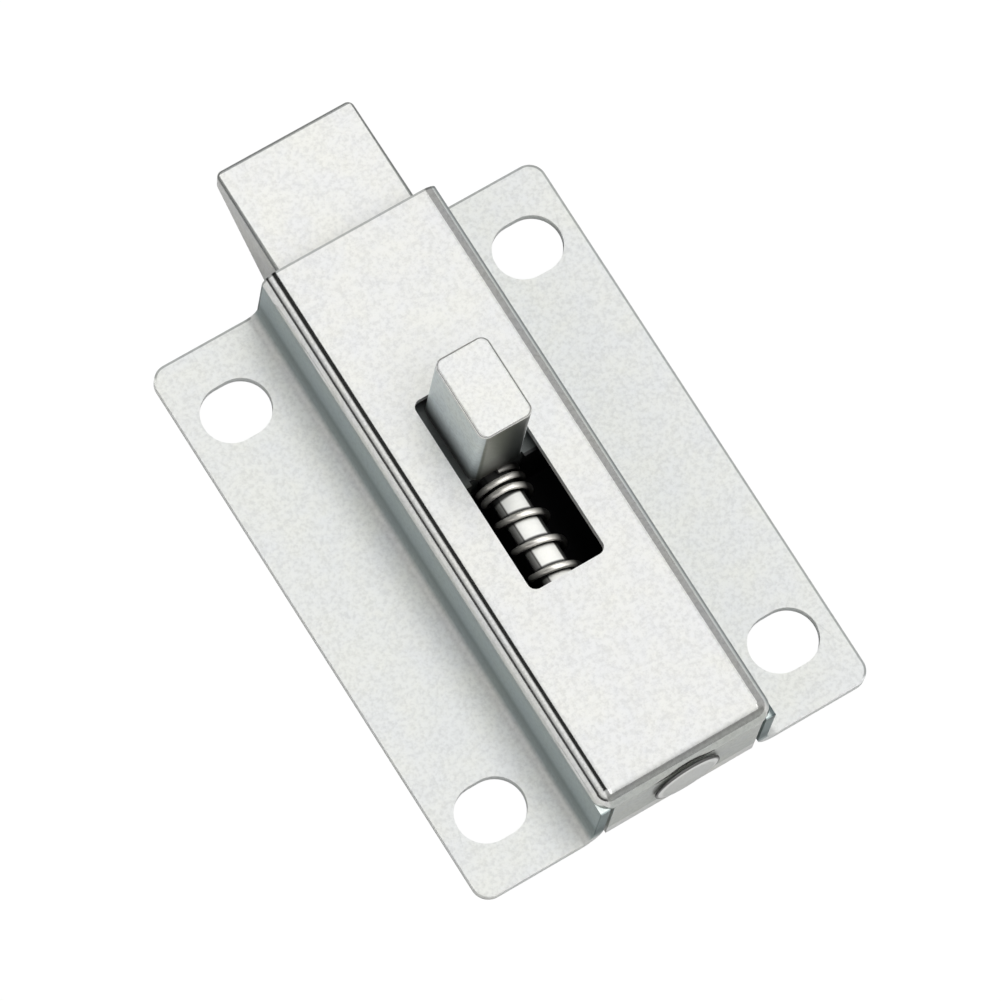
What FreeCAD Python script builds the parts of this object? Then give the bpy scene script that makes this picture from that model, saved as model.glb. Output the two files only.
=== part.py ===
# Spring loaded gate latch: a pressed steel housing, a cast latch bolt with a thumb knob,
# a compression spring and the guide rod that carries it. Millimetres, +Z up.
# X runs across the plate, +Y is the way the bolt shoots, Z = 0 is the mounting plane,
# and the origin is the centre of the screw hole pattern on that plane.
import FreeCAD
import Part
import Sketcher
import math
import os

os.makedirs("parts", exist_ok=True)
doc = FreeCAD.newDocument("gate_latch")

# Driving sizes
SIZES = {
    # mounting plate and sheet
    "plate_length": 70.0,
    "plate_corner": 2.0,
    "gauge": 1.2,
    # raised channel
    "channel_width": 22.4,
    "channel_height": 12.8,
    "inner_bend": 0.8,
    "foot_bend": 1.6,
    # rear flap, slit from the walls
    "slit_width": 0.5,
    "slit_land": 0.2,
    "flap_bottom": 0.8,
    # thumb slot
    "slot_width": 9.6,
    "slot_length": 24.9,
    "slot_setback": 20.5,
    "slot_corner": 1.0,
    # screw holes and the metal left around them
    "hole_length": 8.3,
    "hole_width": 6.9,
    "hole_inner_land": 2.05,
    "hole_outer_land": 2.15,
    "hole_end_land": 5.05,
    # latch bolt
    "bolt_reach": 13.8,
    "top_gap": 1.4,
    "side_gap": 0.15,
    "bolt_lift": 0.3,
    "shoulder_step": 0.9,
    "tip_taper": 0.15,
    "tongue_draft": 0.5,
    "tip_thickness": 2.75,
    "tip_corner": 0.8,
    "bevel_start": 1.4,
    "shoulder_setback": 2.0,
    "body_edge": 1.0,
    "bolt_edge": 0.35,
    # thumb knob on the bolt
    "knob_width": 6.7,
    "knob_length": 10.4,
    "knob_rise": 11.9,
    "knob_corner": 1.1,
    "knob_edge": 0.35,
    "stop_gap": 0.1,
    "rear_step": 0.2,
    # guide rod
    "rod_drop": 4.5,
    "rod_play": 0.35,
    "rod_fit": 0.075,
    "rod_engagement": 4.0,
    "rod_chamfer": 0.4,
    "head_diameter": 8.2,
    "head_neck": 0.6,
    "head_gap": 0.3,
    "head_rim": 0.2,
    "head_rise": 0.4,
    # spring
    "spring_diameter": 6.0,
    "wire_diameter": 0.75,
    "end_pitch": 1.43,
    "active_turns": 9.25,
    "end_turns": 2.0,
    "seat_depth": 0.6,
    "seat_play": 0.4,
    "seat_gap": 0.02,
}

# Places that follow from the driving sizes
PLACES = {
    "front": "plate_length / 2",
    "hole_spacing_across": "channel_width + 2 * foot_bend + 2 * hole_inner_land + hole_length",
    "hole_spacing_along": "plate_length - hole_width - 2 * hole_end_land",
    "plate_width": "hole_spacing_across + hole_length + 2 * hole_outer_land",
    "top_bend": "inner_bend + gauge",
    "inner_half": "channel_width / 2 - gauge",
    "inner_top": "channel_height - gauge",
    "slit_top": "channel_height - top_bend - slit_land",
    "slot_front": "front - slot_setback",
    "slot_rear": "slot_front - slot_length",
    "flap_inside": "gauge - front",
    "flap_half": "inner_half - slit_width",
    "bolt_top": "inner_top - top_gap",
    "bolt_tip": "front + bolt_reach",
    "body_half": "inner_half - side_gap",
    "shoulder": "front - shoulder_setback",
    "tongue_root": "2 * body_half - 2 * shoulder_step",
    "tongue_tip": "tongue_root - 2 * tip_taper",
    "knob_front": "slot_front - stop_gap",
    "knob_back": "knob_front - knob_length",
    "knob_top": "channel_height + knob_rise",
    "bolt_rear": "knob_back - rear_step",
    "seat_floor": "bolt_rear + seat_depth",
    "seat_radius": "spring_diameter / 2 + seat_play",
    "travel": "slot_length - knob_length - 2 * stop_gap",
    "bore_end": "bolt_rear + rod_engagement + travel + 2 * stop_gap",
    "rod_end": "bolt_rear + rod_engagement",
    "rod_height": "inner_top - rod_drop",
    "rod_diameter": "spring_diameter - 2 * wire_diameter - 2 * rod_play",
    "head_radius": "head_diameter / 2",
    "neck_radius": "rod_diameter / 2 + head_neck",
    "head_under": "0 - front - head_gap",
    "head_face": "head_under - head_rim",
    "head_tip": "head_face - head_rise",
}

sheet = doc.addObject("Spreadsheet::Sheet", "sizes")
for row, name in enumerate(list(SIZES) + list(PLACES), start=1):
    sheet.set(f"A{row}", name)
    sheet.setAlias(f"B{row}", name)
    sheet.set(f"B{row}", str(SIZES[name]) if name in SIZES else f"={PLACES[name]}")
doc.recompute()


def size(name):
    """A value of the sheet as a number."""
    return float(sheet.get(name))


def bound(formula):
    """A formula in which every size name points at the sheet."""
    words = formula.replace("(", " ( ").replace(")", " ) ").split()
    return " ".join(f"sizes.{w}" if w in SIZES or w in PLACES else w for w in words)


def new_body(label):
    body = doc.addObject("PartDesign::Body", label)
    body.Label = label
    return body


def new_sketch(body, name, role, offset=None):
    """A sketch on one of the body's own origin planes, moved along its normal by a bound offset."""
    sketch = body.newObject("Sketcher::SketchObject", name)
    plane = next(f for f in body.Origin.OriginFeatures if f.Role == role)
    sketch.AttachmentSupport = [(plane, "")]
    sketch.MapMode = "FlatFace"
    if offset:
        sketch.setExpression("AttachmentOffset.Base.z", bound(offset))
    return sketch


def dimension(sketch, formula, *what):
    """A sketch constraint that starts at its formula's value and stays bound to it."""
    index = sketch.addConstraint(Sketcher.Constraint(*what, worked_out(formula)))
    sketch.setExpression(f"Constraints[{index}]", bound(formula))


def pin(sketch, curve, point, across, up):
    """Holds one point of a sketch at two bound coordinates from the sketch's origin."""
    dimension(sketch, across, "DistanceX", -1, 1, curve, point)
    dimension(sketch, up, "DistanceY", -1, 1, curve, point)


def worked_out(formula):
    """The number that a formula of size names gives."""
    sheet.set("D1", f"={formula}")
    sheet.recompute()
    return float(sheet.get("D1"))


def polygon(sketch, corners):
    """A closed outline of straight lines through bound corners."""
    places = [FreeCAD.Vector(worked_out(x), worked_out(y), 0) for x, y in corners]
    first = sketch.GeometryCount
    count = len(corners)
    for i in range(count):
        sketch.addGeometry(Part.LineSegment(places[i], places[(i + 1) % count]), False)
    for i in range(count):
        sketch.addConstraint(Sketcher.Constraint("Coincident", first + i, 2, first + (i + 1) % count, 1))
    for i, (x, y) in enumerate(corners):
        pin(sketch, first + i, 1, x, y)


def box_outline(sketch, left, right, low, high):
    polygon(sketch, [(left, low), (right, low), (right, high), (left, high)])


def circle(sketch, across, up, radius):
    centre = FreeCAD.Vector(worked_out(across), worked_out(up), 0)
    curve = sketch.addGeometry(Part.Circle(centre, FreeCAD.Vector(0, 0, 1), worked_out(radius)), False)
    pin(sketch, curve, 3, across, up)
    dimension(sketch, radius, "Radius", curve)


def obround(sketch, across, up, length, width):
    """A slot with round ends, its long axis across: four bound corners joined by two lines and two arcs."""
    reach = f"( {length} - {width} ) / 2"
    corners = [(f"{across} + {x} * {reach}", f"{up} + {y} * {width} / 2")
               for x, y in ((1, 1), (-1, 1), (-1, -1), (1, -1))]
    places = [FreeCAD.Vector(worked_out(x), worked_out(y), 0) for x, y in corners]
    radius = worked_out(f"{width} / 2")
    first = sketch.GeometryCount
    for i, side in ((0, -1), (2, 1)):
        sketch.addGeometry(Part.LineSegment(places[i], places[i + 1]), False)
        centre = FreeCAD.Vector(worked_out(f"{across} + {side} * {reach}"), worked_out(up), 0)
        whole = Part.Circle(centre, FreeCAD.Vector(0, 0, 1), radius)
        middle = 0 if side == 1 else math.pi
        sketch.addGeometry(Part.ArcOfCircle(whole, middle - math.pi / 2, middle + math.pi / 2), False)
    top, left, low, right = range(first, first + 4)
    for line, corner in ((top, 0), (low, 2)):
        pin(sketch, line, 1, *corners[corner])
        pin(sketch, line, 2, *corners[corner + 1])
    for arc, start, end in ((left, (top, 2), (low, 1)), (right, (low, 2), (top, 1))):
        sketch.addConstraint(Sketcher.Constraint("Coincident", arc, 1, *start))
        sketch.addConstraint(Sketcher.Constraint("Coincident", arc, 2, *end))
        side = 1 if arc == right else -1
        dimension(sketch, f"{across} + {side} * {reach}", "DistanceX", -1, 1, arc, 3)


def pad(body, sketch, length, midplane=False, reverse=False):
    feature = body.newObject("PartDesign::Pad", sketch.Name + "_pad")
    feature.Profile = sketch
    feature.setExpression("Length", bound(length))
    feature.Midplane = midplane
    feature.Reversed = reverse
    sketch.Visibility = False
    doc.recompute()
    return feature


def pocket(body, sketch, length, reverse=False):
    """A cut of bound depth that must take some metal away."""
    before = body.Shape.Volume
    feature = body.newObject("PartDesign::Pocket", sketch.Name + "_cut")
    feature.Profile = sketch
    feature.setExpression("Length", bound(length))
    feature.Reversed = reverse
    sketch.Visibility = False
    doc.recompute()
    if body.Shape.Volume >= before:
        raise ValueError(f"{sketch.Name} cuts nothing")
    return feature


def rounded(body, name, radius, wanted):
    """A fillet of bound radius on the edges whose middle point passes the test."""
    base = body.Tip
    names = []
    for i, edge in enumerate(base.Shape.Edges, start=1):
        middle = edge.valueAt((edge.FirstParameter + edge.LastParameter) / 2)
        if wanted(edge, middle):
            names.append(f"Edge{i}")
    feature = body.newObject("PartDesign::Fillet", name)
    feature.Base = (base, names)
    feature.setExpression("Radius", bound(radius))
    doc.recompute()
    return feature


def near(value, *names):
    """Whether a coordinate lies on one of the named places."""
    return any(abs(value - worked_out(name)) < 0.01 for name in names)


def straight(edge, axis):
    """Whether an edge is a line along the named axis."""
    if edge.Degenerated or edge.Curve.TypeId != "Part::GeomLine":
        return False
    return abs(getattr(edge.Curve.Direction, axis)) > 0.999


# Housing: plate and channel folded from one sheet, open below and at the front. Its top is drawn
# first, so that the bends can meet in a round corner above each wall's square rear end.
def make_housing():
    body = new_body("housing")
    top = new_sketch(body, "channel_top", "XY_Plane", "slit_top")
    box_outline(top, "0 - channel_width / 2", "channel_width / 2", "0 - front", "front")
    pad(body, top, "channel_height - slit_top")
    rounded(body, "top_bends", "top_bend",
            lambda e, p: not near(p.y, "front") and (near(p.z, "channel_height") or straight(e, "z")))
    walls = new_sketch(body, "channel_walls", "XY_Plane")
    box_outline(walls, "0 - channel_width / 2", "channel_width / 2", "0 - front", "front")
    pad(body, walls, "slit_top")

    plate = new_sketch(body, "plate_outline", "XY_Plane")
    box_outline(plate, "0 - plate_width / 2", "plate_width / 2", "0 - front", "front")
    pad(body, plate, "gauge")
    rounded(body, "plate_corners", "plate_corner",
            lambda e, p: straight(e, "z") and near(abs(p.x), "plate_width / 2"))
    rounded(body, "foot_bends", "foot_bend",
            lambda e, p: straight(e, "y") and near(p.z, "gauge") and near(abs(p.x), "channel_width / 2"))

    cavity = new_sketch(body, "channel_inside", "XZ_Plane", "0 - front")
    box_outline(cavity, "0 - inner_half", "inner_half", "0 - gauge", "inner_top")
    pocket(body, cavity, "plate_length - gauge", reverse=True)
    rounded(body, "inner_bends", "inner_bend",
            lambda e, p: near(p.z, "inner_top") and not near(p.y, "front") and abs(p.x) < size("inner_half") + 0.01
            and p.y < size("front") - 0.01)
    cut_rear_flap(body)
    rounded(body, "under_bends", "foot_bend + gauge",
            lambda e, p: straight(e, "y") and near(p.z, "0") and near(abs(p.x), "inner_half"))
    cut_openings(body)
    return body


def cut_rear_flap(body):
    """Slits free the flap from both walls, and it stops short of the mounting plane."""
    outline = new_sketch(body, "flap_slits", "XZ_Plane", "front")
    right = [("inner_half", "0"), ("inner_half", "slit_top"), ("flap_half", "slit_top"), ("flap_half", "flap_bottom")]
    left = [(f"0 - {x}", y) for x, y in reversed(right)]
    polygon(outline, right + left)
    pocket(body, outline, "gauge")


def cut_openings(body):
    """Thumb slot, screw holes and the rod's hole in the flap."""
    slot = new_sketch(body, "thumb_slot", "XY_Plane", "inner_top")
    box_outline(slot, "0 - slot_width / 2", "slot_width / 2", "slot_rear", "slot_front")
    pocket(body, slot, "gauge", reverse=True)
    rounded(body, "slot_corners", "slot_corner",
            lambda e, p: straight(e, "z") and near(abs(p.x), "slot_width / 2")
            and near(p.y, "slot_front", "slot_rear"))
    holes = new_sketch(body, "screw_holes", "XY_Plane")
    for side in (-1, 1):
        for end in (-1, 1):
            obround(holes, f"{side} * hole_spacing_across / 2", f"{end} * hole_spacing_along / 2",
                    "hole_length", "hole_width")
    pocket(body, holes, "gauge", reverse=True)
    rod_hole = new_sketch(body, "rod_hole", "XZ_Plane", "front")
    circle(rod_hole, "0", "rod_height", "rod_diameter / 2")
    pocket(body, rod_hole, "gauge")


# Latch bolt: tongue, guide body and thumb knob in one casting
def make_bolt():
    body = new_body("bolt")
    make_tongue(body)
    block = new_sketch(body, "guide_body", "XZ_Plane", "0 - shoulder")
    box_outline(block, "0 - body_half", "body_half", "bolt_lift", "bolt_top")
    pad(body, block, "shoulder - bolt_rear")
    rounded(body, "body_edges", "body_edge",
            lambda e, p: straight(e, "y") and near(p.z, "bolt_top") and near(abs(p.x), "body_half"))

    knob = new_sketch(body, "knob_outline", "XY_Plane", "bolt_top - body_edge")
    box_outline(knob, "0 - knob_width / 2", "knob_width / 2", "knob_back", "knob_front")
    pad(body, knob, "knob_top - bolt_top + body_edge")
    rounded(body, "knob_corners", "knob_corner",
            lambda e, p: straight(e, "z") and p.z > size("bolt_top"))
    rounded(body, "knob_rim", "knob_edge", lambda e, p: near(p.z, "knob_top"))
    bore_for_rod(body)
    return body


def make_tongue(body):
    """A tapered block in plan with drafted sides, cut away below by the striking bevel."""
    plan = new_sketch(body, "tongue_plan", "XY_Plane", "bolt_lift")
    polygon(plan, [("tongue_root / 2", "shoulder"), ("tongue_tip / 2", "bolt_tip"),
                   ("0 - tongue_tip / 2", "bolt_tip"), ("0 - tongue_root / 2", "shoulder")])
    pad(body, plan, "bolt_top - bolt_lift")
    draft_sides(body)
    rounded(body, "tip_corners", "tip_corner",
            lambda e, p: near(p.y, "bolt_tip") and near(p.z, "( bolt_top + bolt_lift ) / 2"))
    bevel = new_sketch(body, "striking_bevel", "YZ_Plane", "0 - body_half")
    polygon(bevel, [("front + bevel_start", "bolt_lift"), ("bolt_tip", "bolt_top - tip_thickness"),
                    ("bolt_tip + gauge", "bolt_top - tip_thickness"), ("bolt_tip + gauge", "bolt_lift")])
    pocket(body, bevel, "2 * body_half", reverse=True)
    rounded(body, "tongue_edges", "bolt_edge",
            lambda e, p: near(p.z, "bolt_top") and not near(p.y, "shoulder"))
    rounded(body, "lip_edges", "bolt_edge",
            lambda e, p: straight(e, "x") and near(p.z, "bolt_top - tip_thickness"))


def draft_sides(body):
    """The tongue's two long sides lean outward below, as a casting's do, and its top keeps its size."""
    block = body.Tip
    sides = []
    for i, face in enumerate(block.Shape.Faces, start=1):
        place = face.CenterOfMass
        if near(place.z, "bolt_top"):
            top = f"Face{i}"
        elif abs(place.x) > size("tongue_tip") / 2 - 0.01:
            sides.append(f"Face{i}")
    draft = body.newObject("PartDesign::Draft", "tongue_draft_sides")
    draft.Base = (block, sides)
    draft.NeutralPlane = (block, [top])
    draft.Reversed = True
    draft.setExpression("Angle", "atan(sizes.tongue_draft / (sizes.bolt_top - sizes.bolt_lift))")
    doc.recompute()


def bore_for_rod(body):
    """A blind bore for the rod, and a spring seat that is open above."""
    seat = new_sketch(body, "spring_seat", "XZ_Plane", "0 - bolt_rear")
    circle(seat, "0", "rod_height", "seat_radius")
    pocket(body, seat, "seat_depth")
    notch = new_sketch(body, "seat_mouth", "XZ_Plane", "0 - bolt_rear")
    box_outline(notch, "0 - seat_radius", "seat_radius", "rod_height", "bolt_top")
    pocket(body, notch, "seat_depth")
    bore = new_sketch(body, "rod_bore", "XZ_Plane", "0 - seat_floor")
    circle(bore, "0", "rod_height", "rod_diameter / 2 + rod_fit")
    pocket(body, bore, "bore_end - seat_floor")


# Guide rod: turned, its low round head upset outside the flap so that the rim stands a little off it
def make_guide_rod():
    body = new_body("guide_rod")
    half = new_sketch(body, "half_profile", "XY_Plane")
    rise, half_width = size("head_rise"), size("head_radius")
    dome = (rise ** 2 + half_width ** 2) / (2 * rise)
    centre = FreeCAD.Vector(0, size("head_tip") + dome, 0)
    turn = math.asin(half_width / dome)
    arc = Part.ArcOfCircle(Part.Circle(centre, FreeCAD.Vector(0, 0, 1), dome), -math.pi / 2, turn - math.pi / 2)
    half.addGeometry(arc, False)
    corners = [("head_radius", "head_face"), ("head_radius", "head_under"), ("neck_radius", "0 - front"),
               ("rod_diameter / 2", "0 - front"), ("rod_diameter / 2", "rod_end - rod_chamfer"),
               ("rod_diameter / 2 - rod_chamfer", "rod_end"), ("0", "rod_end"), ("0", "head_tip")]
    places = [FreeCAD.Vector(worked_out(x), worked_out(y), 0) for x, y in corners]
    for start, end in zip(places, places[1:]):
        half.addGeometry(Part.LineSegment(start, end), False)
    last = len(corners) - 1
    for line in range(last):
        half.addConstraint(Sketcher.Constraint("Coincident", line, 2, line + 1, 1))
        pin(half, line + 1, 1, *corners[line])
    half.addConstraint(Sketcher.Constraint("Coincident", last, 2, 0, 1))
    pin(half, last, 2, *corners[last])
    half.addConstraint(Sketcher.Constraint("PointOnObject", 0, 3, -2))
    turned = body.newObject("PartDesign::Revolution", "turned")
    turned.Profile = half
    turned.ReferenceAxis = (half, ["V_Axis"])
    turned.Angle = 360
    half.Visibility = False
    body.setExpression("Placement.Base.z", bound("rod_height"))
    doc.recompute()
    return body


# Spring: left hand wound wire whose end turns lie closer together
def coil_points():
    """Points along the middle of the wire, from the bolt's seat back to the flap."""
    mean_radius = (size("spring_diameter") - size("wire_diameter")) / 2
    end_play = size("wire_diameter") / 2 + size("seat_gap")
    front_end = size("seat_floor") - end_play
    rear_end = size("flap_inside") + end_play
    closed = size("end_turns") * size("end_pitch")
    pitch = (front_end - rear_end - 2 * closed) / size("active_turns")
    turns = size("active_turns") + 2 * size("end_turns")
    runs_per_turn = 20
    steps = round(turns * runs_per_turn)
    points = []
    y = front_end
    for step in range(steps + 1):
        turn = turns * step / steps
        angle = math.pi / 2 - 2 * math.pi * turn
        points.append(FreeCAD.Vector(mean_radius * math.cos(angle), y, mean_radius * math.sin(angle)))
        middle = turn + turns / steps / 2
        closing = middle < size("end_turns") or middle > turns - size("end_turns")
        y -= (size("end_pitch") if closing else pitch) * turns / steps
    return points


def make_spring():
    """The wire's section is drawn with few sides, because the coils repeat it many times."""
    points = coil_points()
    along = (points[1] - points[0]).normalize()
    outward = along.cross(FreeCAD.Vector(0, 1, 0)).normalize()
    sides = 12
    ring = []
    for side in range(sides + 1):
        turn = FreeCAD.Rotation(along, 360 * side / sides)
        ring.append(points[0] + turn.multVec(outward) * (size("wire_diameter") / 2))
    section = Part.makePolygon(ring)
    mitred, solid, frenet = 1, True, False
    spring = doc.addObject("Part::Feature", "spring")
    spring.Label = "spring"
    spring.Shape = Part.makePolygon(points).makePipeShell([section], solid, frenet, mitred)
    spring.Placement = FreeCAD.Placement(FreeCAD.Vector(0, 0, size("rod_height")), FreeCAD.Rotation())
    return spring


parts = [make_housing(), make_bolt(), make_guide_rod(), make_spring()]
sheet.clear("D1")
doc.recompute()

# Checks before anything is written
for item in doc.Objects:
    if "Invalid" in item.State or "Error" in item.State:
        raise ValueError(f"{item.Label} failed")
for part in parts:
    if part.Shape.isNull() or not part.Shape.isValid():
        raise ValueError(f"{part.Label} has no valid shape")
for part in parts:
    part.Shape.exportStep(f"parts/{part.Label}.step")
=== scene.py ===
# Spring loaded gate latch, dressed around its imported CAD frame.
# Metres, +Z up from the mounting plane, +Y the way the bolt shoots.
import math

import bmesh
import bpy
from mathutils import Matrix, Vector


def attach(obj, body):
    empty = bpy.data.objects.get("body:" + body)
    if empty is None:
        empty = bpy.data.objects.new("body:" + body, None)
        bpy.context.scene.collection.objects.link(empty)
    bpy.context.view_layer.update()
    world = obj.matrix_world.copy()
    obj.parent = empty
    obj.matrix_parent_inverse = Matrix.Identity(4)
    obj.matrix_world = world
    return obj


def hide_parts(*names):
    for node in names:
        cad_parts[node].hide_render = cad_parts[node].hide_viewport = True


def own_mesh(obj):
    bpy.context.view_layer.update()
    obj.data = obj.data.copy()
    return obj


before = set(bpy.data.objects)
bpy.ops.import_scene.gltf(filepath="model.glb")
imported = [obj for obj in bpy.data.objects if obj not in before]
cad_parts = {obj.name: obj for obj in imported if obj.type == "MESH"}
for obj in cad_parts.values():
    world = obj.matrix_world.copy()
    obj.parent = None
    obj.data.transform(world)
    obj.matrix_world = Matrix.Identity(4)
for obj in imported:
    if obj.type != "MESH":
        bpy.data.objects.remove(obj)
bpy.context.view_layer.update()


# Housing: one steel sheet 1.2 mm thick, pressed into two flanges and a channel, with a flap folded
# down behind, then zinc plated. It is the CAD sheet with its cut edges softened by the press. The
# bends along its top are burnished. Painted shade darkens both walls low down, the rear bend and
# flap, the wall ends, the front edge, the flanges' edges and the hole walls.
MM = 0.001


class Workings:
    """One node tree, with its sums, its soft steps and its masks by place in millimetres."""

    def __init__(self, tree):
        self.nodes, self.links = tree.nodes, tree.links

    def worked(self, operation, *values):
        """One sum, fed by numbers or by other nodes' outputs."""
        node = self.nodes.new("ShaderNodeMath")
        node.operation = operation
        for socket, value in zip(node.inputs, values):
            if isinstance(value, (int, float)):
                socket.default_value = value
            else:
                self.links.new(value, socket)
        return node.outputs["Value"]

    def apart(self, first, second):
        """How far a point lies from the middle, from its two distances along the axes."""
        squares = [self.worked("MULTIPLY", value, value) for value in (first, second)]
        return self.worked("SQRT", self.worked("ADD", *squares))

    def ranged(self, value, start, end, low, high):
        """A soft step from low to high as the value goes from start to end."""
        node = self.nodes.new("ShaderNodeMapRange")
        node.interpolation_type = "SMOOTHSTEP"
        self.links.new(value, node.inputs["Value"])
        labels = ("From Min", "From Max", "To Min", "To Max")
        for label, number in zip(labels, (start, end, low, high)):
            node.inputs[label].default_value = number
        return node.outputs["Result"]

    def beyond(self, value, start_mm, end_mm):
        """A mask that rises from none to one between two places."""
        return self.ranged(value, start_mm * MM, end_mm * MM, 0.0, 1.0)

    def before(self, value, start_mm, end_mm):
        """A mask that falls from one to none between two places."""
        return self.ranged(value, start_mm * MM, end_mm * MM, 1.0, 0.0)

    def between(self, value, rise_mm, fall_mm):
        """A mask that is one from the end of its rise to the start of its fall."""
        return self.all_of(self.beyond(value, *rise_mm), self.before(value, *fall_mm))

    def all_of(self, mask, *others):
        """A mask that is one only where every given mask is."""
        for other in others:
            mask = self.worked("MULTIPLY", mask, other)
        return mask

    def any_of(self, mask, *others):
        """A mask that is one where any given mask is."""
        for other in others:
            mask = self.worked("MAXIMUM", mask, other)
        return mask


def tinted(tint):
    """A colour's four numbers, from three or from one grey number."""
    return (*tint, 1) if isinstance(tint, tuple) else (tint, tint, tint, 1)


class Plate(Workings):
    """Zinc plate: satin metal with a fine mottled grain and faint clouds, shaded by place."""

    CLOUD = {"size_mm": 5.0, "detail": 5.0, "roughness": 0.65}
    CLOUD_EDGES = (0.36, 0.64)
    CLOUD_GREEN = 0.75
    CLEAR_BLUE = 0.6
    GRAIN = {"detail": 4.0, "roughness": 0.6}
    GRAIN_EDGES = (0.30, 0.62)
    LINE_FADE = 0.7

    def __init__(self, name, colour, satin, roughness, grain_mm, grain_depth_mm, fleck, cloud):
        self.material = bpy.data.materials.new(name)
        self.material.use_nodes = True
        super().__init__(self.material.node_tree)
        self.surface = self.nodes["Principled BSDF"]
        self.surface.inputs["Metallic"].default_value = satin
        self.surface.inputs["Roughness"].default_value = roughness
        self.place = self.nodes.new("ShaderNodeTexCoord").outputs["Object"]
        split = self.nodes.new("ShaderNodeSeparateXYZ")
        self.links.new(self.place, split.inputs["Vector"])
        self.across, self.along, self.up = (split.outputs[axis] for axis in "XYZ")

        red, green, blue = colour
        tint = self.nodes.new("ShaderNodeValToRGB")
        clouded, clear = tint.color_ramp.elements
        clouded.position, clear.position = self.CLOUD_EDGES
        clouded.color = (red * (1 - cloud), green * (1 - cloud * self.CLOUD_GREEN), blue, 1)
        clear.color = (red, green, blue * (1 - cloud * self.CLEAR_BLUE), 1)
        self.links.new(self.noise(**self.CLOUD), tint.inputs["Fac"])
        self.colour = tint.outputs["Color"]
        grain = self.noise(grain_mm, **self.GRAIN)
        self.shade(self.ranged(grain, *self.GRAIN_EDGES, 1 - fleck, 1.0))
        self.bump = self.nodes.new("ShaderNodeBump")
        self.bump.inputs["Strength"].default_value = 1.0
        self.bump.inputs["Distance"].default_value = grain_depth_mm * MM
        self.links.new(grain, self.bump.inputs["Height"])
        self.links.new(self.bump.outputs["Normal"], self.surface.inputs["Normal"])

    def noise(self, size_mm, detail, roughness):
        node = self.nodes.new("ShaderNodeTexNoise")
        node.inputs["Scale"].default_value = 1 / (size_mm * MM)
        node.inputs["Detail"].default_value = detail
        node.inputs["Roughness"].default_value = roughness
        self.links.new(self.place, node.inputs["Vector"])
        return node.outputs["Fac"]

    def bands(self, value, stops):
        """A colour along one coordinate, from pairs of millimetres and colour."""
        start, end = stops[0][0], stops[-1][0]
        ramp = self.nodes.new("ShaderNodeValToRGB")
        marks = ramp.color_ramp.elements
        while len(marks) < len(stops):
            marks.new(0.5)
        for mark, (at_mm, tint) in zip(marks, stops):
            mark.position = (at_mm - start) / (end - start)
            mark.color = tinted(tint)
        node = self.nodes.new("ShaderNodeMapRange")
        node.inputs["From Min"].default_value = start * MM
        node.inputs["From Max"].default_value = end * MM
        self.links.new(value, node.inputs["Value"])
        self.links.new(node.outputs["Result"], ramp.inputs["Fac"])
        return ramp.outputs["Color"]

    def outline(self, across, along, half_width_mm, half_length_mm, corner_mm, line_mm):
        """A mask along the outline of a rounded rectangle."""
        reach = []
        for value, half_mm in ((across, half_width_mm), (along, half_length_mm)):
            past_straight = self.worked("SUBTRACT", value, (half_mm - corner_mm) * MM)
            reach.append(self.worked("MAXIMUM", past_straight, 0.0))
        return self.beyond(self.apart(*reach), corner_mm - line_mm,
                           corner_mm - line_mm * self.LINE_FADE)

    def polish(self, keep_across, keep_along):
        """Worn round metal: its shading normals lean toward straight up, so highlights spread."""
        facing = self.nodes.new("ShaderNodeNewGeometry")
        leaned = self.nodes.new("ShaderNodeVectorMath")
        leaned.operation = "MULTIPLY"
        leaned.inputs[1].default_value = (keep_across, keep_along, 1.0)
        even = self.nodes.new("ShaderNodeVectorMath")
        even.operation = "NORMALIZE"
        self.links.new(facing.outputs["Normal"], leaned.inputs[0])
        self.links.new(leaned.outputs["Vector"], even.inputs[0])
        self.links.new(even.outputs["Vector"], self.bump.inputs["Normal"])

    def shade(self, tint, where=None):
        """Multiplies the colour so far, everywhere or only where a mask is one."""
        node = self.nodes.new("ShaderNodeMix")
        node.data_type = "RGBA"
        node.blend_type = "MULTIPLY"
        node.inputs["Factor"].default_value = 1.0
        if where:
            self.links.new(where, node.inputs["Factor"])
        self.links.new(self.colour, node.inputs["A"])
        if isinstance(tint, (float, tuple)):
            node.inputs["B"].default_value = tinted(tint)
        else:
            self.links.new(tint, node.inputs["B"])
        self.colour = node.outputs["Result"]

    def burnish(self, where, roughness):
        """Satin plate pressed bright where a mask is one."""
        for label, pressed in (("Metallic", 1.0), ("Roughness", roughness)):
            socket = self.surface.inputs[label]
            self.links.new(self.ranged(where, 0.0, 1.0, socket.default_value, pressed), socket)

    def finished(self):
        self.links.new(self.colour, self.surface.inputs["Base Color"])
        return self.material


def softened_copy(node, name, edge_mm, edge_steps=3, sharp_degrees=30):
    """A copy of a CAD node with its loose triangles joined and its sharp edges rounded."""
    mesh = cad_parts[node].data.copy()
    mesh.name = name
    joined = bmesh.new()
    joined.from_mesh(mesh)
    bmesh.ops.remove_doubles(joined, verts=joined.verts, dist=0.0005 * MM)
    joined.to_mesh(mesh)
    joined.free()
    if "custom_normal" in mesh.attributes:
        mesh.attributes.remove(mesh.attributes["custom_normal"])
    for face in mesh.polygons:
        face.use_smooth = True
    mesh.materials.clear()
    piece = bpy.data.objects.new(name, mesh)
    bpy.context.scene.collection.objects.link(piece)
    bevel = piece.modifiers.new("soft_edges", "BEVEL")
    bevel.width = edge_mm * MM
    bevel.segments = edge_steps
    bevel.limit_method = "ANGLE"
    bevel.angle_limit = math.radians(sharp_degrees)
    even = piece.modifiers.new("even_faces", "WEIGHTED_NORMAL")
    even.mode = "FACE_AREA"
    even.weight = 100
    return piece


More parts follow.
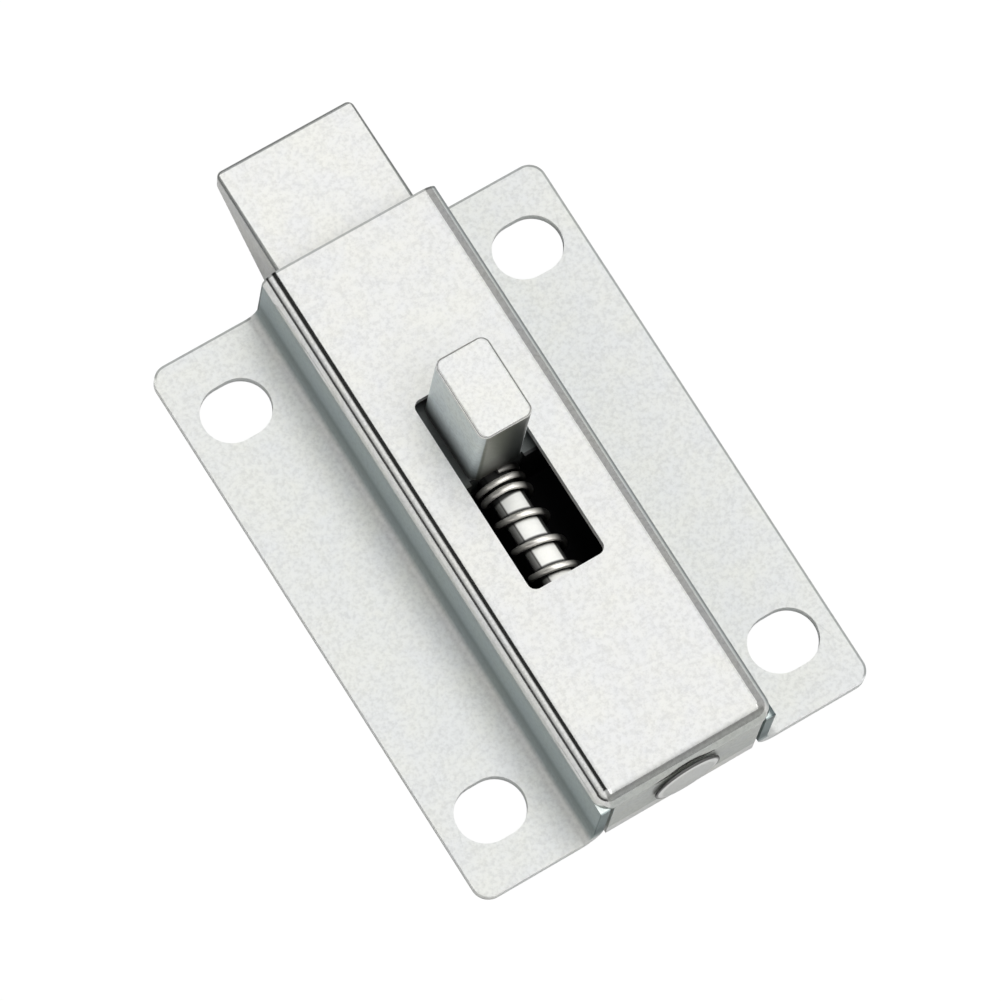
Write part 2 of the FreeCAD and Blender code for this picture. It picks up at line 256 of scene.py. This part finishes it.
sheet = Plate("zinc_sheet", colour=(0.93, 0.93, 0.905), satin=0.3, roughness=0.42,
              grain_mm=0.45, grain_depth_mm=0.004, fleck=0.14, cloud=0.03)
side = sheet.worked("ABSOLUTE", sheet.across)

# A pair of millimetres is the place where a mask starts to rise or fall and the place where it ends.
RAISED = (2.6, 3.0)
raised = sheet.beyond(sheet.up, *RAISED)
WALL_FACE = (9.6, 9.8)
# Painted shade on both walls by height, bluish and darkest low down.
WALL_PAINTED_SHADES = ((0.0, (0.95, 0.96, 0.96)), (1.6, (0.95, 0.96, 0.96)), (2.1, (0.45, 0.51, 0.52)),
               (4.2, (0.25, 0.31, 0.32)), (5.6, (0.42, 0.50, 0.52)), (9.0, (0.49, 0.57, 0.58)),
               (10.4, (0.43, 0.50, 0.51)), (11.0, 1.0), (13.0, 1.0))
sheet.shade(sheet.bands(sheet.up, WALL_PAINTED_SHADES), sheet.beyond(side, *WALL_FACE))

# Painted shade: a dark band along the outer side of the right top bend.
RIGHT_BEND_UP = (8.5, 10.5)
RIGHT_BEND_PAINTED_SHADE = ((10.2, 1.0), (10.55, (0.85, 0.88, 0.88)), (10.85, (0.22, 0.25, 0.26)),
              (11.3, (0.22, 0.25, 0.26)))
sheet.shade(sheet.bands(sheet.across, RIGHT_BEND_PAINTED_SHADE), sheet.beyond(sheet.up, *RIGHT_BEND_UP))

TOP_EDGE = (9.9, 10.1)
# Painted shade across the rear bend and down the flap.
FLAP_PAINTED_SHADES = ((-36.0, (0.66, 0.68, 0.66)), (-34.6, (0.72, 0.74, 0.72)),
               (-34.3, (0.80, 0.81, 0.80)), (-34.0, (0.62, 0.63, 0.62)), (-33.6, 0.95),
               (-33.3, 1.0), (-32.0, 1.0))
# Painted shade on the rear end faces of both walls.
WALL_END = (-34.9, -34.8)
WALL_END_PAINTED_SHADE = (0.45, 0.50, 0.50)
# Painted shade: a dark line along the channel's front edge.
FRONT_EDGE = (34.7, 34.8)
FRONT_EDGE_PAINTED_SHADE = (0.50, 0.51, 0.51)
sheet.shade(sheet.bands(sheet.along, FLAP_PAINTED_SHADES),
            sheet.all_of(raised, sheet.before(side, *TOP_EDGE)))
sheet.shade(WALL_END_PAINTED_SHADE, sheet.all_of(sheet.before(sheet.along, *WALL_END),
                                         sheet.beyond(side, *TOP_EDGE), raised))
sheet.shade(FRONT_EDGE_PAINTED_SHADE, sheet.all_of(raised, sheet.beyond(sheet.along, *FRONT_EDGE)))

# A painted grey shade line runs along the foot of the flanges' edges, and along the top of the far
# ones.
FLANGES = {"half_width_mm": 25.3, "half_length_mm": 35.0, "corner_mm": 2.0, "line_mm": 0.30}
EDGE_TOP = ((0.80, 0.95), (1.3, 1.5))
EDGE_TOP_PAINTED_SHADE = (0.48, 0.49, 0.49)
EDGE_FOOT = (0.15, 0.40)
EDGE_FOOT_PAINTED_SHADE = 0.70
LEFT_EDGE = (-25.0, -24.6)
REAR_EDGE = (-34.7, -34.3)
NEAR_CORNER = (-58.0, -56.5)
flange_edge = sheet.outline(side, sheet.worked("ABSOLUTE", sheet.along), **FLANGES)
far = sheet.all_of(sheet.beyond(sheet.across, *LEFT_EDGE), sheet.beyond(sheet.along, *REAR_EDGE),
                   sheet.beyond(sheet.worked("ADD", sheet.across, sheet.along), *NEAR_CORNER))
sheet.shade(EDGE_TOP_PAINTED_SHADE, sheet.all_of(sheet.between(sheet.up, *EDGE_TOP), far, flange_edge))
sheet.shade(EDGE_FOOT_PAINTED_SHADE, sheet.all_of(sheet.before(sheet.up, *EDGE_FOOT), flange_edge))

# Painted shade darkens the walls of the holes.
HOLE_WALL = (1.13, 1.175)
HOLE_WALL_PAINTED_SHADE = (0.76, 0.77, 0.77)
BEND_HEIGHT = ((10.3, 10.8), (12.73, 12.775))
SIDE_BEND = (9.2, 9.45)
REAR_BEND = (-33.95, -33.8)
FRONT_END = (34.0, 34.5)
hole_walls = sheet.all_of(sheet.before(sheet.up, *HOLE_WALL),
                          sheet.worked("SUBTRACT", 1.0, flange_edge))
drawn = sheet.any_of(sheet.beyond(side, *SIDE_BEND), sheet.before(sheet.along, *REAR_BEND),
                     sheet.beyond(sheet.along, *FRONT_END))
bends = sheet.all_of(sheet.between(sheet.up, *BEND_HEIGHT), drawn)
sheet.shade(HOLE_WALL_PAINTED_SHADE, hole_walls)
sheet.burnish(sheet.any_of(bends, hole_walls), roughness=0.13)

housing = softened_copy("housing", "pressed_housing", edge_mm=0.34)
housing.data.materials.append(sheet.finished())
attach(housing, "housing_body")
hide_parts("housing")


# Latch bolt: tongue, guide body and thumb knob in one zinc plated casting, its grain a little
# deeper than the sheet's. Painted shade makes its sides greyer than its tops, paints what slides
# inside the channel near black, and darkens the knob's back face.
casting = Plate("zinc_casting", colour=(0.93, 0.93, 0.90), satin=0.3, roughness=0.40,
                grain_mm=0.45, grain_depth_mm=0.005, fleck=0.14, cloud=0.03)

# Painted shade by height: the sides greyer and bluish, the tops white.
BOLT_PAINTED_SHADES = ((0.0, 0.80), (9.6, 0.85), (10.0, 1.0), (10.4, 1.0), (10.8, (0.16, 0.17, 0.17)),
               (13.0, (0.56, 0.62, 0.65)), (16.0, (0.87, 0.96, 1.0)), (24.1, (0.92, 0.99, 1.0)),
               (24.3, 1.0), (25.0, 1.0))
casting.shade(casting.bands(casting.up, BOLT_PAINTED_SHADES))

# Painted shade: the guide body inside the channel is painted near black.
CHANNEL_MOUTH = (34.3, 34.8)
GUIDE_TOP = (10.3, 10.8)
CHANNEL_PAINTED_SHADE = (0.10, 0.11, 0.11)
casting.shade(CHANNEL_PAINTED_SHADE, casting.all_of(casting.before(casting.along, *CHANNEL_MOUTH),
                                     casting.before(casting.up, *GUIDE_TOP)))

# Painted shade on the knob's back face, with a painted highlight along its left edge.
KNOB_BACK = (4.1, 4.2)
KNOB_BACK_TOP = (24.3, 24.5)
KNOB_BACK_PAINTED_SHADES = ((-3.4, (0.75, 0.73, 0.66)), (-2.6, (0.42, 0.40, 0.35)),
                    (-0.6, (0.28, 0.27, 0.23)), (1.2, (0.11, 0.11, 0.10)), (3.4, 0.08))
casting.shade(casting.bands(casting.across, KNOB_BACK_PAINTED_SHADES),
              casting.all_of(casting.before(casting.along, *KNOB_BACK),
                             casting.before(casting.up, *KNOB_BACK_TOP)))

# The casting's far edges carry the same painted grey shade line, and its top edges are rubbed
# bright.
KNOB_MIDDLE = 9.2
KNOB = {"half_width_mm": 3.35, "half_length_mm": 5.2, "corner_mm": 1.1, "line_mm": 0.26}
KNOB_TOP = (24.2, 24.3)
KNOB_EDGE_PAINTED_SHADE = (0.50, 0.50, 0.49)
from_knob = casting.worked("SUBTRACT", casting.along, KNOB_MIDDLE * MM)
knob_edge = casting.outline(casting.across, from_knob, **KNOB)
casting.shade(KNOB_EDGE_PAINTED_SHADE, casting.all_of(knob_edge, casting.beyond(casting.up, *KNOB_TOP)))

TONGUE_TIP = (48.35, 48.42)
TONGUE_SIDE = (8.45, 8.52)
TONGUE_TOP = (9.8, 9.9)
TONGUE_EDGE_PAINTED_SHADE = (0.40, 0.41, 0.41)
bolt_side = casting.worked("ABSOLUTE", casting.across)
tongue_edge = casting.any_of(casting.beyond(casting.along, *TONGUE_TIP),
                             casting.beyond(bolt_side, *TONGUE_SIDE))
tongue_top = casting.all_of(casting.beyond(casting.along, *CHANNEL_MOUTH),
                            casting.beyond(casting.up, *TONGUE_TOP))
casting.shade(TONGUE_EDGE_PAINTED_SHADE, casting.all_of(tongue_edge, tongue_top))

KNOB_RUBBED = ((24.36, 24.44), (24.65, 24.69))
TONGUE_RUBBED = (TONGUE_TOP, (10.15, 10.19))
casting.burnish(casting.any_of(casting.between(casting.up, *KNOB_RUBBED),
                               casting.between(casting.up, *TONGUE_RUBBED)), roughness=0.15)

bolt = softened_copy("bolt", "latch_bolt", edge_mm=0.1)
bolt.data.materials.append(casting.finished())
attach(bolt, "bolt_body")
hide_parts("bolt")


# Guide rod: one turned and plated steel pin through the spring. It is pushed through the flap from
# the inside and headed over on the outside. Painted shadows of the spring's turns lie across its
# shank, and painted shade darkens its sides and marks its head.
pin = Plate("zinc_pin", colour=(0.96, 0.96, 0.94), satin=0.45, roughness=0.30,
            grain_mm=0.5, grain_depth_mm=0.002, fleck=0.04, cloud=0.02)
pin.polish(keep_across=0.15, keep_along=1.0)

# Painted shade across the shank: dark sides and a lit top.
SHANK_START = (-34.9, -34.8)
SHANK_PAINTED_SHADES = ((-2.1, 0.03), (-1.85, (0.28, 0.28, 0.27)), (-1.5, (0.28, 0.28, 0.27)),
                (-1.36, 0.05), (-1.22, (0.9, 0.9, 0.88)), (1.18, (0.9, 0.9, 0.88)),
                (1.34, 0.03), (2.1, 0.03))
shank = pin.beyond(pin.along, *SHANK_START)
pin.shade(pin.bands(pin.across, SHANK_PAINTED_SHADES), shank)

# Painted shadow of the spring's turns across the shank, and painted shade where it runs under the
# knob.
TURN_PITCH = 3.475 * MM
TURN_PLACE = -1.44 * MM
TURN_LEAN = 0.2
TURN_WIDTH = (0.55, 0.80)
SHANK_PAINTED_SHADOW = 0.05
UNDER_KNOB = (0.9, 1.2)
leaned = pin.worked("ADD", pin.along, pin.worked("MULTIPLY", pin.across, TURN_LEAN))
from_turn = pin.worked("PINGPONG", pin.worked("SUBTRACT", leaned, TURN_PLACE), TURN_PITCH / 2)
pin.shade(SHANK_PAINTED_SHADOW, pin.all_of(pin.before(from_turn, *TURN_WIDTH), shank))
pin.shade(SHANK_PAINTED_SHADOW, pin.beyond(pin.along, *UNDER_KNOB))

# Painted shade on the head: a darker face, a painted highlight ring and a painted shadow at its rim.
ROD_HEIGHT = 7.1 * MM
HEAD_START = (-35.2, -35.0)
HEAD_PAINTED_SHADES = ((0.0, (0.75, 0.76, 0.75)), (3.2, (0.75, 0.76, 0.75)), (3.45, 1.0), (3.75, 1.0),
               (3.95, 0.1), (4.2, 0.1))
from_axis = pin.apart(pin.worked("SUBTRACT", pin.up, ROD_HEIGHT), pin.across)
pin.shade(pin.bands(from_axis, HEAD_PAINTED_SHADES), pin.before(pin.along, *HEAD_START))

rod = softened_copy("guide_rod", "guide_rod_pin", edge_mm=0.1)
rod.data.materials.append(pin.finished())
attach(rod, "housing_body")
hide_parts("guide_rod")


# Spring: one round steel wire on a left hand helix, its end turns closer together, wound by a node
# tree from the bolt's seat back to the flap. It is baked.
steel = Plate("spring_steel", colour=(0.97, 0.94, 0.87), satin=0.6, roughness=0.28,
              grain_mm=0.4, grain_depth_mm=0.002, fleck=0.05, cloud=0.02)
steel.polish(keep_across=0.6, keep_along=0.4)

# Painted shade on the wire: lit along the top of each turn, dark toward its ends and underside, and
# dim at its start behind the knob.
WIRE_ACROSS_PAINTED_SHADES = ((-3.0, 0.35), (-1.8, 0.75), (-0.8, 1.0), (1.0, 1.0), (1.7, 0.45), (2.15, 0.04),
                 (3.0, 0.04))
WIRE_UP_PAINTED_SHADES = ((3.0, 0.04), (6.4, 0.06), (7.4, (0.9, 0.88, 0.84)), (8.4, 1.0), (11.0, 1.0))
WIRE_START = (3.2, 3.6)
WIRE_START_PAINTED_SHADE = 0.25
steel.shade(steel.bands(steel.across, WIRE_ACROSS_PAINTED_SHADES))
steel.shade(WIRE_START_PAINTED_SHADE, steel.beyond(steel.along, *WIRE_START))
steel.shade(steel.bands(steel.up, WIRE_UP_PAINTED_SHADES))

WINDING = {"Coil Radius": 2.625 * MM, "Wire Radius": 0.375 * MM, "Front": 4.005 * MM,
           "Rear": -33.405 * MM, "Height": ROD_HEIGHT, "End Turns": 2.0, "Active Turns": 9.5,
           "End Pitch": 1.10 * MM}
WIRE_STEPS = 530
WIRE_SIDES = 14
tree = bpy.data.node_groups.new("wound_wire", "GeometryNodeTree")
tree.interface.new_socket("Geometry", in_out="OUTPUT", socket_type="NodeSocketGeometry")
sockets = {label: tree.interface.new_socket(label, in_out="INPUT",
                                            socket_type="NodeSocketFloat").identifier
           for label in WINDING}
winding = Workings(tree)
given = winding.nodes.new("NodeGroupInput").outputs

line = winding.nodes.new("GeometryNodeCurvePrimitiveLine")
points = winding.nodes.new("GeometryNodeResampleCurve")
points.inputs["Count"].default_value = WIRE_STEPS + 1
winding.links.new(line.outputs["Curve"], points.inputs["Curve"])
index = winding.nodes.new("GeometryNodeInputIndex").outputs["Index"]
ends, active = given["End Turns"], given["Active Turns"]
all_turns = winding.worked("ADD", active, winding.worked("MULTIPLY", ends, 2.0))
turned = winding.worked("MULTIPLY", all_turns, winding.worked("DIVIDE", index, WIRE_STEPS))
angle = winding.worked("SUBTRACT", math.pi / 2, winding.worked("MULTIPLY", turned, 2 * math.pi))
closed = winding.worked("MULTIPLY", winding.worked("MULTIPLY", ends, 2.0), given["End Pitch"])
length = winding.worked("SUBTRACT", given["Front"], given["Rear"])
pitch = winding.worked("DIVIDE", winding.worked("SUBTRACT", length, closed), active)
first = winding.worked("MINIMUM", turned, ends)
to_last = winding.worked("SUBTRACT", turned, winding.worked("ADD", ends, active))
last = winding.worked("MAXIMUM", to_last, 0.0)
middle = winding.worked("SUBTRACT", winding.worked("SUBTRACT", turned, first), last)
slow = winding.worked("MULTIPLY", winding.worked("ADD", first, last), given["End Pitch"])
back = winding.worked("ADD", slow, winding.worked("MULTIPLY", middle, pitch))
out_across, out_up = (winding.worked("MULTIPLY", winding.worked(turn, angle), given["Coil Radius"])
                      for turn in ("COSINE", "SINE"))
place = winding.nodes.new("ShaderNodeCombineXYZ")
winding.links.new(out_across, place.inputs["X"])
winding.links.new(winding.worked("SUBTRACT", given["Front"], back), place.inputs["Y"])
winding.links.new(winding.worked("ADD", out_up, given["Height"]), place.inputs["Z"])
wound = winding.nodes.new("GeometryNodeSetPosition")
winding.links.new(points.outputs["Curve"], wound.inputs["Geometry"])
winding.links.new(place.outputs["Vector"], wound.inputs["Position"])
section = winding.nodes.new("GeometryNodeCurvePrimitiveCircle")
section.inputs["Resolution"].default_value = WIRE_SIDES
winding.links.new(given["Wire Radius"], section.inputs["Radius"])
wire = winding.nodes.new("GeometryNodeCurveToMesh")
wire.inputs["Fill Caps"].default_value = True
winding.links.new(wound.outputs["Geometry"], wire.inputs["Curve"])
winding.links.new(section.outputs["Curve"], wire.inputs["Profile Curve"])
real = winding.nodes.new("GeometryNodeRealizeInstances")
winding.links.new(wire.outputs["Mesh"], real.inputs["Geometry"])
smooth = winding.nodes.new("GeometryNodeSetShadeSmooth")
winding.links.new(real.outputs["Geometry"], smooth.inputs["Geometry"])
plated = winding.nodes.new("GeometryNodeSetMaterial")
plated.inputs["Material"].default_value = steel.finished()
winding.links.new(smooth.outputs["Geometry"], plated.inputs["Geometry"])
result = winding.nodes.new("NodeGroupOutput")
winding.links.new(plated.outputs["Geometry"], result.inputs["Geometry"])

coil_base = bpy.data.objects.new("coil_base", bpy.data.meshes.new("coil_base"))
bpy.context.scene.collection.objects.link(coil_base)
winder = coil_base.modifiers.new("winding", "NODES")
winder.node_group = tree
for label, value in WINDING.items():
    winder[sockets[label]] = value
bpy.context.view_layer.update()
evaluated = coil_base.evaluated_get(bpy.context.evaluated_depsgraph_get())
baked = bpy.data.meshes.new_from_object(evaluated)
baked.name = "return_spring"
bpy.data.objects.remove(coil_base)
spring = bpy.data.objects.new("return_spring", baked)
bpy.context.scene.collection.objects.link(spring)
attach(spring, "housing_body")
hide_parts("spring")
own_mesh(spring)


# Floor: a plain pale table. The camera sees it almost white, and it keeps a faint shadow of the
# latch. A dark card under the open channel is painted shade, so the slot shows black.
def laid_flat(name, half_width, half_length, height, finish):
    """A flat sheet under the middle of the latch."""
    mesh = bpy.data.meshes.new(name)
    corners = [(across * half_width, along * half_length, 0)
               for across, along in ((-1, -1), (1, -1), (1, 1), (-1, 1))]
    mesh.from_pydata(corners, [], [(0, 1, 2, 3)])
    mesh.materials.append(finish)
    laid = bpy.data.objects.new(name, mesh)
    laid.location.z = height
    bpy.context.scene.collection.objects.link(laid)
    return laid


PAPER_WHITE = (0.92, 0.92, 0.92, 1)
PAPER_GLOW = 1.03
SEEN_GLOW = 0.97
paper = bpy.data.materials.new("white_paper")
paper.use_nodes = True
paper.node_tree.nodes.clear()
table = Workings(paper.node_tree)
diffuse = table.nodes.new("ShaderNodeBsdfDiffuse")
diffuse.inputs["Color"].default_value = PAPER_WHITE
glow = table.nodes.new("ShaderNodeEmission")
glow.inputs["Strength"].default_value = PAPER_GLOW
camera_ray = table.nodes.new("ShaderNodeLightPath").outputs["Is Camera Ray"]
blend = table.nodes.new("ShaderNodeMixShader")
table.links.new(table.worked("MULTIPLY", camera_ray, SEEN_GLOW), blend.inputs["Fac"])
table.links.new(diffuse.outputs["BSDF"], blend.inputs[1])
table.links.new(glow.outputs["Emission"], blend.inputs[2])
table.links.new(blend.outputs["Shader"],
                table.nodes.new("ShaderNodeOutputMaterial").inputs["Surface"])
floor = laid_flat("table", half_width=4.0, half_length=4.0, height=-0.2 * MM, finish=paper)

CARD_BLACK = (0.012, 0.012, 0.013, 1)
black = bpy.data.materials.new("painted_shade_black")
black.use_nodes = True
card_surface = black.node_tree.nodes["Principled BSDF"]
card_surface.inputs["Base Color"].default_value = CARD_BLACK
card_surface.inputs["Roughness"].default_value = 0.9
card_surface.inputs["Specular IOR Level"].default_value = 0.1
card = laid_flat("painted_shade_card", half_width=9.6 * MM, half_length=33.4 * MM, height=-0.1 * MM,
                 finish=black)


# Studio: a soft light overhead in a dimmer room, with a second soft light low on the left.
# A dark gap beside the overhead light is where the camera stands.
ROOM, OVERHEAD, LEFT_LIGHT, LEFT_FOOT, GAP = 0.50, 2.6, 1.05, 0.06, 0.02
LEFT_SIDE = (-0.62, -0.40)
LEFT_FOOT_TOP = (0.24, 0.32)
LEFT_LIGHT_UP = (0.30, 0.62)
OVERHEAD_LEFT, OVERHEAD_RIGHT, OVERHEAD_UP = (-0.20, -0.04), (0.40, 0.52), (0.72, 0.82)
GAP_LEFT, GAP_RIGHT, GAP_UP = (-0.66, -0.54), (-0.16, 0.0), (0.3, 0.5)
GAP_MIDDLE, GAP_ENDS = 0.22, (0.18, 0.32)
RISING, FALLING = (0.0, 1.0), (1.0, 0.0)
world = bpy.data.worlds.new("studio")
world.use_nodes = True
bpy.context.scene.world = world
world.node_tree.nodes.clear()
studio = Workings(world.node_tree)


def toward(mask, base, level):
    """The light so far, changed to another level where the mask is one."""
    node = studio.nodes.new("ShaderNodeMix")
    node.data_type = "FLOAT"
    studio.links.new(mask, node.inputs["Factor"])
    if isinstance(base, float):
        node.inputs["A"].default_value = base
    else:
        studio.links.new(base, node.inputs["A"])
    node.inputs["B"].default_value = level
    return node.outputs["Result"]


heading = studio.nodes.new("ShaderNodeTexCoord").outputs["Generated"]
split = studio.nodes.new("ShaderNodeSeparateXYZ")
studio.links.new(heading, split.inputs["Vector"])
across, along, up = (split.outputs[axis] for axis in "XYZ")
left = studio.ranged(across, *LEFT_SIDE, *FALLING)
left_foot = studio.all_of(left, studio.ranged(up, *LEFT_FOOT_TOP, *FALLING))
left_light = studio.all_of(left, studio.ranged(up, *LEFT_LIGHT_UP, *RISING))
overhead = studio.all_of(studio.ranged(across, *OVERHEAD_LEFT, *RISING),
                         studio.ranged(across, *OVERHEAD_RIGHT, *FALLING),
                         studio.ranged(up, *OVERHEAD_UP, *RISING))
from_gap = studio.worked("ABSOLUTE", studio.worked("SUBTRACT", along, GAP_MIDDLE))
gap = studio.all_of(studio.ranged(across, *GAP_LEFT, *RISING),
                    studio.ranged(across, *GAP_RIGHT, *FALLING),
                    studio.ranged(from_gap, *GAP_ENDS, *FALLING),
                    studio.ranged(up, *GAP_UP, *RISING))
light = ROOM
for mask, level in ((left_foot, LEFT_FOOT), (left_light, LEFT_LIGHT), (overhead, OVERHEAD),
                    (gap, GAP)):
    light = toward(mask, light, level)
soft_light = studio.nodes.new("ShaderNodeBackground")
studio.links.new(light, soft_light.inputs["Strength"])
white = studio.nodes.new("ShaderNodeBackground")
white.inputs["Strength"].default_value = 1.0
camera_ray = studio.nodes.new("ShaderNodeLightPath").outputs["Is Camera Ray"]
choose = studio.nodes.new("ShaderNodeMixShader")
studio.links.new(camera_ray, choose.inputs["Fac"])
studio.links.new(soft_light.outputs["Background"], choose.inputs[1])
studio.links.new(white.outputs["Background"], choose.inputs[2])
studio.links.new(choose.outputs["Shader"],
                 studio.nodes.new("ShaderNodeOutputWorld").inputs["Surface"])


# Camera: a long lens high over the latch's left rear corner, as in the photograph.
# Its place and turn were solved from the plate's corners, holes and edges.
CAMERA_PLACE = Vector((-0.21190, -0.19441, 0.84539))
CAMERA_RIGHT = Vector((0.844569, -0.527959, 0.089235))
CAMERA_UP = Vector((0.479583, 0.819991, 0.312434))
CAMERA_BACK = Vector((-0.238124, -0.221077, 0.945739))
camera_data = bpy.data.cameras.new("camera")
camera_data.sensor_width = 36.0
camera_data.lens = 292.16
camera_data.clip_start = 0.05
camera_data.clip_end = 20.0
camera = bpy.data.objects.new("camera", camera_data)
bpy.context.scene.collection.objects.link(camera)
turn = Matrix((CAMERA_RIGHT, CAMERA_UP, CAMERA_BACK)).transposed().to_4x4()
camera.matrix_world = Matrix.Translation(CAMERA_PLACE) @ turn
bpy.context.scene.camera = camera
bpy.context.scene.view_settings.view_transform = "Standard"
